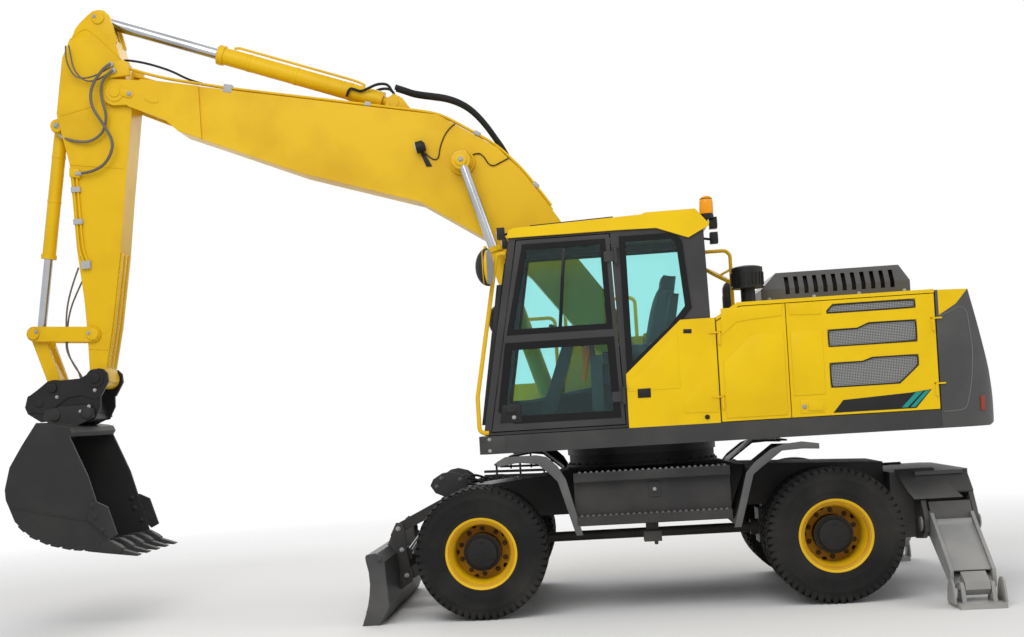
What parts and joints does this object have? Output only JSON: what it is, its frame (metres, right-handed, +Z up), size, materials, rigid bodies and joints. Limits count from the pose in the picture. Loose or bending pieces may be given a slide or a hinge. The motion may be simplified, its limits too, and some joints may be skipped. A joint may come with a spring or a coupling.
{
  "type": "wheeled excavator",
  "caption": "Wheeled hydraulic excavator with a cab, a boom, arm and bucket, a dozer blade in front and stabilisers behind.",
  "frame": {"origin": "on the ground under the middle of the machine's length and width", "axes": "+X forward along the machine, +Y to its left, +Z up"},
  "size_m": [8.177, 3.76, 5.42],
  "materials": {
    "yellow_paint": "gloss",
    "boom_paint": "gloss",
    "dark_grey_paint": "satin",
    "frame_paint": "satin",
    "bucket_paint": "satin",
    "leg_paint": "satin",
    "rim_paint": "satin",
    "tyre": "matt",
    "chrome": "polished",
    "glass": "clear",
    "plastic": "grained",
    "engine": "rough",
    "weight": "painted",
    "weight_cap": "gloss"
  },
  "bodies": {
    "chassis": {"chassis_frame": "frame_paint", "slew_ring": "frame_paint", "front_axle": "frame_paint", "rear_axle": "frame_paint", "side_boxes": "dark_grey_paint", "mudguards": "dark_grey_paint", "stabiliser_frame": "dark_grey_paint"},
    "upper": {"turntable": "dark_grey_paint", "counterweight": "weight", "counterweight_cap": "weight_cap", "engine_block": "engine", "bodywork": "yellow_paint", "air_intake": "plastic", "right_tanks": "yellow_paint", "cab_shell": "dark_grey_paint", "cab_glass": "glass", "cab_roof": "yellow_paint", "cab_interior": "plastic", "handrails": "yellow_paint", "roof_lamps": "plastic"},
    "cab_door": {"cab_door": "dark_grey_paint", "cab_door_glass": "glass"},
    "door_left_front": {"door_left_front": "yellow_paint"},
    "door_left_rear": {"door_left_rear": "yellow_paint"},
    "door_right_front": {"door_right_front": "yellow_paint"},
    "door_right_rear": {"door_right_rear": "yellow_paint"},
    "engine_hood": {"engine_hood": "yellow_paint", "hood_cover": "dark_grey_paint"},
    "boom": {"boom": "boom_paint"},
    "boom_barrels": {"boom_barrels": "boom_paint"},
    "boom_rods": {"boom_rods": "chrome"},
    "arm_barrel": {"arm_barrel": "boom_paint"},
    "arm_rod": {"arm_rod": "chrome"},
    "arm": {"arm": "boom_paint"},
    "bucket_barrel": {"bucket_barrel": "boom_paint"},
    "bucket_rod": {"bucket_rod": "chrome"},
    "guide_links": {"guide_links": "boom_paint"},
    "h_link": {"h_link": "boom_paint"},
    "bucket": {"coupler": "bucket_paint", "bucket": "bucket_paint"},
    "knuckle_left": {"knuckle_left": "frame_paint"},
    "knuckle_right": {"knuckle_right": "frame_paint"},
    "steering_rod": {"steering_rod": "chrome"},
    "wheel_front_left": {"tyres_front_left": "tyre", "rim_front_left": "rim_paint"},
    "wheel_front_right": {"tyres_front_right": "tyre", "rim_front_right": "rim_paint"},
    "wheel_rear_left": {"tyres_rear_left": "tyre", "rim_rear_left": "rim_paint"},
    "wheel_rear_right": {"tyres_rear_right": "tyre", "rim_rear_right": "rim_paint"},
    "blade_links_lower": {"blade_links_lower": "frame_paint"},
    "blade_links_upper": {"blade_links_upper": "frame_paint"},
    "blade": {"blade": "dark_grey_paint"},
    "blade_barrels": {"blade_barrels": "frame_paint"},
    "blade_rods": {"blade_rods": "chrome"},
    "leg_left": {"stabiliser_leg_left": "leg_paint"},
    "leg_right": {"stabiliser_leg_right": "leg_paint"},
    "pad_left": {"stabiliser_pad_left": "leg_paint"},
    "pad_right": {"stabiliser_pad_right": "leg_paint"}
  },
  "joints": [
    {"name": "slew", "type": "hinge", "parent": "chassis", "child": "upper", "pos_m": [-1.385, 0, 1.23], "axis": [0, 0, 1], "continuous": true},
    {"name": "boom_lift", "type": "hinge", "parent": "upper", "child": "boom", "pos_m": [-1.305, 0, 1.98], "axis": [0, -1, 0], "range_deg": [-45, 28]},
    {"name": "boom_barrels_tilt", "type": "hinge", "parent": "upper", "child": "boom_barrels", "pos_m": [-0.66, 0, 1.62], "axis": [0, -1, 0], "range_deg": [-45, 28]},
    {"name": "boom_rods_slide", "type": "slide", "parent": "boom_barrels", "child": "boom_rods", "axis": [0.2865, 0, 0.9581], "range_m": [-0.545, 0.34]},
    {"name": "arm_swing", "type": "hinge", "parent": "boom", "child": "arm", "pos_m": [3.017, 0, 4.658], "axis": [0, 1, 0], "range_deg": [-76, 36]},
    {"name": "arm_barrel_tilt", "type": "hinge", "parent": "boom", "child": "arm_barrel", "pos_m": [0.563, 0, 4.388], "axis": [0, 1, 0], "range_deg": [-3.1, 1.5]},
    {"name": "arm_rod_slide", "type": "slide", "parent": "arm_barrel", "child": "arm_rod", "axis": [0.9383, 0, 0.3459], "range_m": [-0.8, 0.38]},
    {"name": "bucket_curl", "type": "hinge", "parent": "arm", "child": "bucket", "pos_m": [3.348, 0, 2.155], "axis": [0, 1, 0], "range_deg": [-78, 58]},
    {"name": "guide_links_swing", "type": "hinge", "parent": "arm", "child": "guide_links", "pos_m": [3.358, 0, 2.547], "axis": [0, 1, 0], "range_deg": [-60, 45]},
    {"name": "h_link_swing", "type": "hinge", "parent": "guide_links", "child": "h_link", "pos_m": [3.896, 0, 2.583], "axis": [0, 1, 0], "range_deg": [-36, 48]},
    {"name": "bucket_barrel_tilt", "type": "hinge", "parent": "arm", "child": "bucket_barrel", "pos_m": [3.589, 0, 4.421], "axis": [0, 1, 0], "range_deg": [-1.3, 1.7]},
    {"name": "bucket_rod_slide", "type": "slide", "parent": "bucket_barrel", "child": "bucket_rod", "axis": [0.1647, 0, -0.9863], "range_m": [-0.48, 0.36]},
    {"name": "steer_left", "type": "hinge", "parent": "chassis", "child": "knuckle_left", "pos_m": [-0.05, 0.7, 0.5275], "axis": [0, 0, 1], "range_deg": [-27, 27]},
    {"name": "steer_right", "type": "hinge", "parent": "chassis", "child": "knuckle_right", "pos_m": [-0.05, -0.7, 0.5275], "axis": [0, 0, 1], "range_deg": [-27, 27]},
    {"name": "steering_rod_slide", "type": "slide", "parent": "chassis", "child": "steering_rod", "axis": [0, 1, 0], "range_m": [-0.065, 0.065]},
    {"name": "cab_door_hinge", "type": "hinge", "parent": "upper", "child": "cab_door", "pos_m": [-1.243, 1.262, 2.25], "axis": [0, 0, 1], "range_deg": [0, 160]},
    {"name": "door_left_front_hinge", "type": "hinge", "parent": "upper", "child": "door_left_front", "pos_m": [-2.003, 1.254, 1.9], "axis": [0, 0, 1], "range_deg": [-110, 0]},
    {"name": "door_left_rear_hinge", "type": "hinge", "parent": "upper", "child": "door_left_rear", "pos_m": [-3.619, 1.254, 1.9], "axis": [0, 0, 1], "range_deg": [0, 110]},
    {"name": "door_right_front_hinge", "type": "hinge", "parent": "upper", "child": "door_right_front", "pos_m": [-2.003, -1.254, 1.9], "axis": [0, 0, 1], "range_deg": [0, 110]},
    {"name": "door_right_rear_hinge", "type": "hinge", "parent": "upper", "child": "door_right_rear", "pos_m": [-3.619, -1.254, 1.9], "axis": [0, 0, 1], "range_deg": [-110, 0]},
    {"name": "engine_hood_hinge", "type": "hinge", "parent": "upper", "child": "engine_hood", "pos_m": [-2.381, 0, 2.3963], "axis": [0, 1, 0], "range_deg": [0, 60]},
    {"name": "blade_lift", "type": "hinge", "parent": "chassis", "child": "blade_links_lower", "pos_m": [0.255, 0, 0.49], "axis": [0, -1, 0], "range_deg": [-8, 50]},
    {"name": "blade_level", "type": "hinge", "parent": "blade_links_lower", "child": "blade", "pos_m": [0.662, 0, 0.3], "axis": [0, -1, 0], "range_deg": [-50, 8]},
    {"name": "blade_links_upper_swing", "type": "hinge", "parent": "chassis", "child": "blade_links_upper", "pos_m": [0.305, 0, 0.89], "axis": [0, -1, 0], "range_deg": [-8, 50]},
    {"name": "blade_barrels_tilt", "type": "hinge", "parent": "chassis", "child": "blade_barrels", "pos_m": [0.175, 0, 1.06], "axis": [0, -1, 0], "range_deg": [-5, 28]},
    {"name": "blade_rods_slide", "type": "slide", "parent": "blade_barrels", "child": "blade_rods", "axis": [0.6376, 0, -0.7704], "range_m": [-0.23, 0.04]},
    {"name": "leg_left_lift", "type": "hinge", "parent": "chassis", "child": "leg_left", "pos_m": [-3.72, 0.95, 0.56], "axis": [1, 0, 0], "range_deg": [-8, 66]},
    {"name": "pad_left_swivel", "type": "hinge", "parent": "leg_left", "child": "pad_left", "pos_m": [-3.72, 1.68, 0.135], "axis": [1, 0, 0], "range_deg": [-25, 25]},
    {"name": "leg_right_lift", "type": "hinge", "parent": "chassis", "child": "leg_right", "pos_m": [-3.72, -0.95, 0.56], "axis": [-1, 0, 0], "range_deg": [-8, 66]},
    {"name": "pad_right_swivel", "type": "hinge", "parent": "leg_right", "child": "pad_right", "pos_m": [-3.72, -1.68, 0.135], "axis": [-1, 0, 0], "range_deg": [-25, 25]},
    {"name": "wheel_front_left_spin", "type": "hinge", "parent": "knuckle_left", "child": "wheel_front_left", "pos_m": [-0.05, 0.972, 0.5275], "axis": [0, 1, 0], "continuous": true},
    {"name": "wheel_front_right_spin", "type": "hinge", "parent": "knuckle_right", "child": "wheel_front_right", "pos_m": [-0.05, -0.972, 0.5275], "axis": [0, 1, 0], "continuous": true},
    {"name": "wheel_rear_left_spin", "type": "hinge", "parent": "chassis", "child": "wheel_rear_left", "pos_m": [-2.8, 0.972, 0.5275], "axis": [0, 1, 0], "continuous": true},
    {"name": "wheel_rear_right_spin", "type": "hinge", "parent": "chassis", "child": "wheel_rear_right", "pos_m": [-2.8, -0.972, 0.5275], "axis": [0, 1, 0], "continuous": true}
  ],
  "couplings": [
    {"joint": "boom_barrels_tilt", "follows": "boom_lift", "ratio": 1},
    {"joint": "boom_rods_slide", "follows": "boom_lift", "m_per_rad": 0.69},
    {"joint": "arm_barrel_tilt", "follows": "arm_swing", "ratio": 0.04},
    {"joint": "arm_rod_slide", "follows": "arm_swing", "m_per_rad": 0.6},
    {"joint": "guide_links_swing", "follows": "bucket_curl", "ratio": 0.76},
    {"joint": "h_link_swing", "follows": "bucket_curl", "ratio": -0.6},
    {"joint": "bucket_barrel_tilt", "follows": "bucket_curl", "ratio": -0.02},
    {"joint": "bucket_rod_slide", "follows": "bucket_curl", "m_per_rad": 0.347},
    {"joint": "steer_right", "follows": "steer_left", "ratio": 1},
    {"joint": "steering_rod_slide", "follows": "steer_left", "m_per_rad": -0.13},
    {"joint": "blade_level", "follows": "blade_lift", "ratio": -1},
    {"joint": "blade_links_upper_swing", "follows": "blade_lift", "ratio": 1},
    {"joint": "blade_barrels_tilt", "follows": "blade_lift", "ratio": 0.55},
    {"joint": "blade_rods_slide", "follows": "blade_lift", "m_per_rad": -0.26}
  ]
}
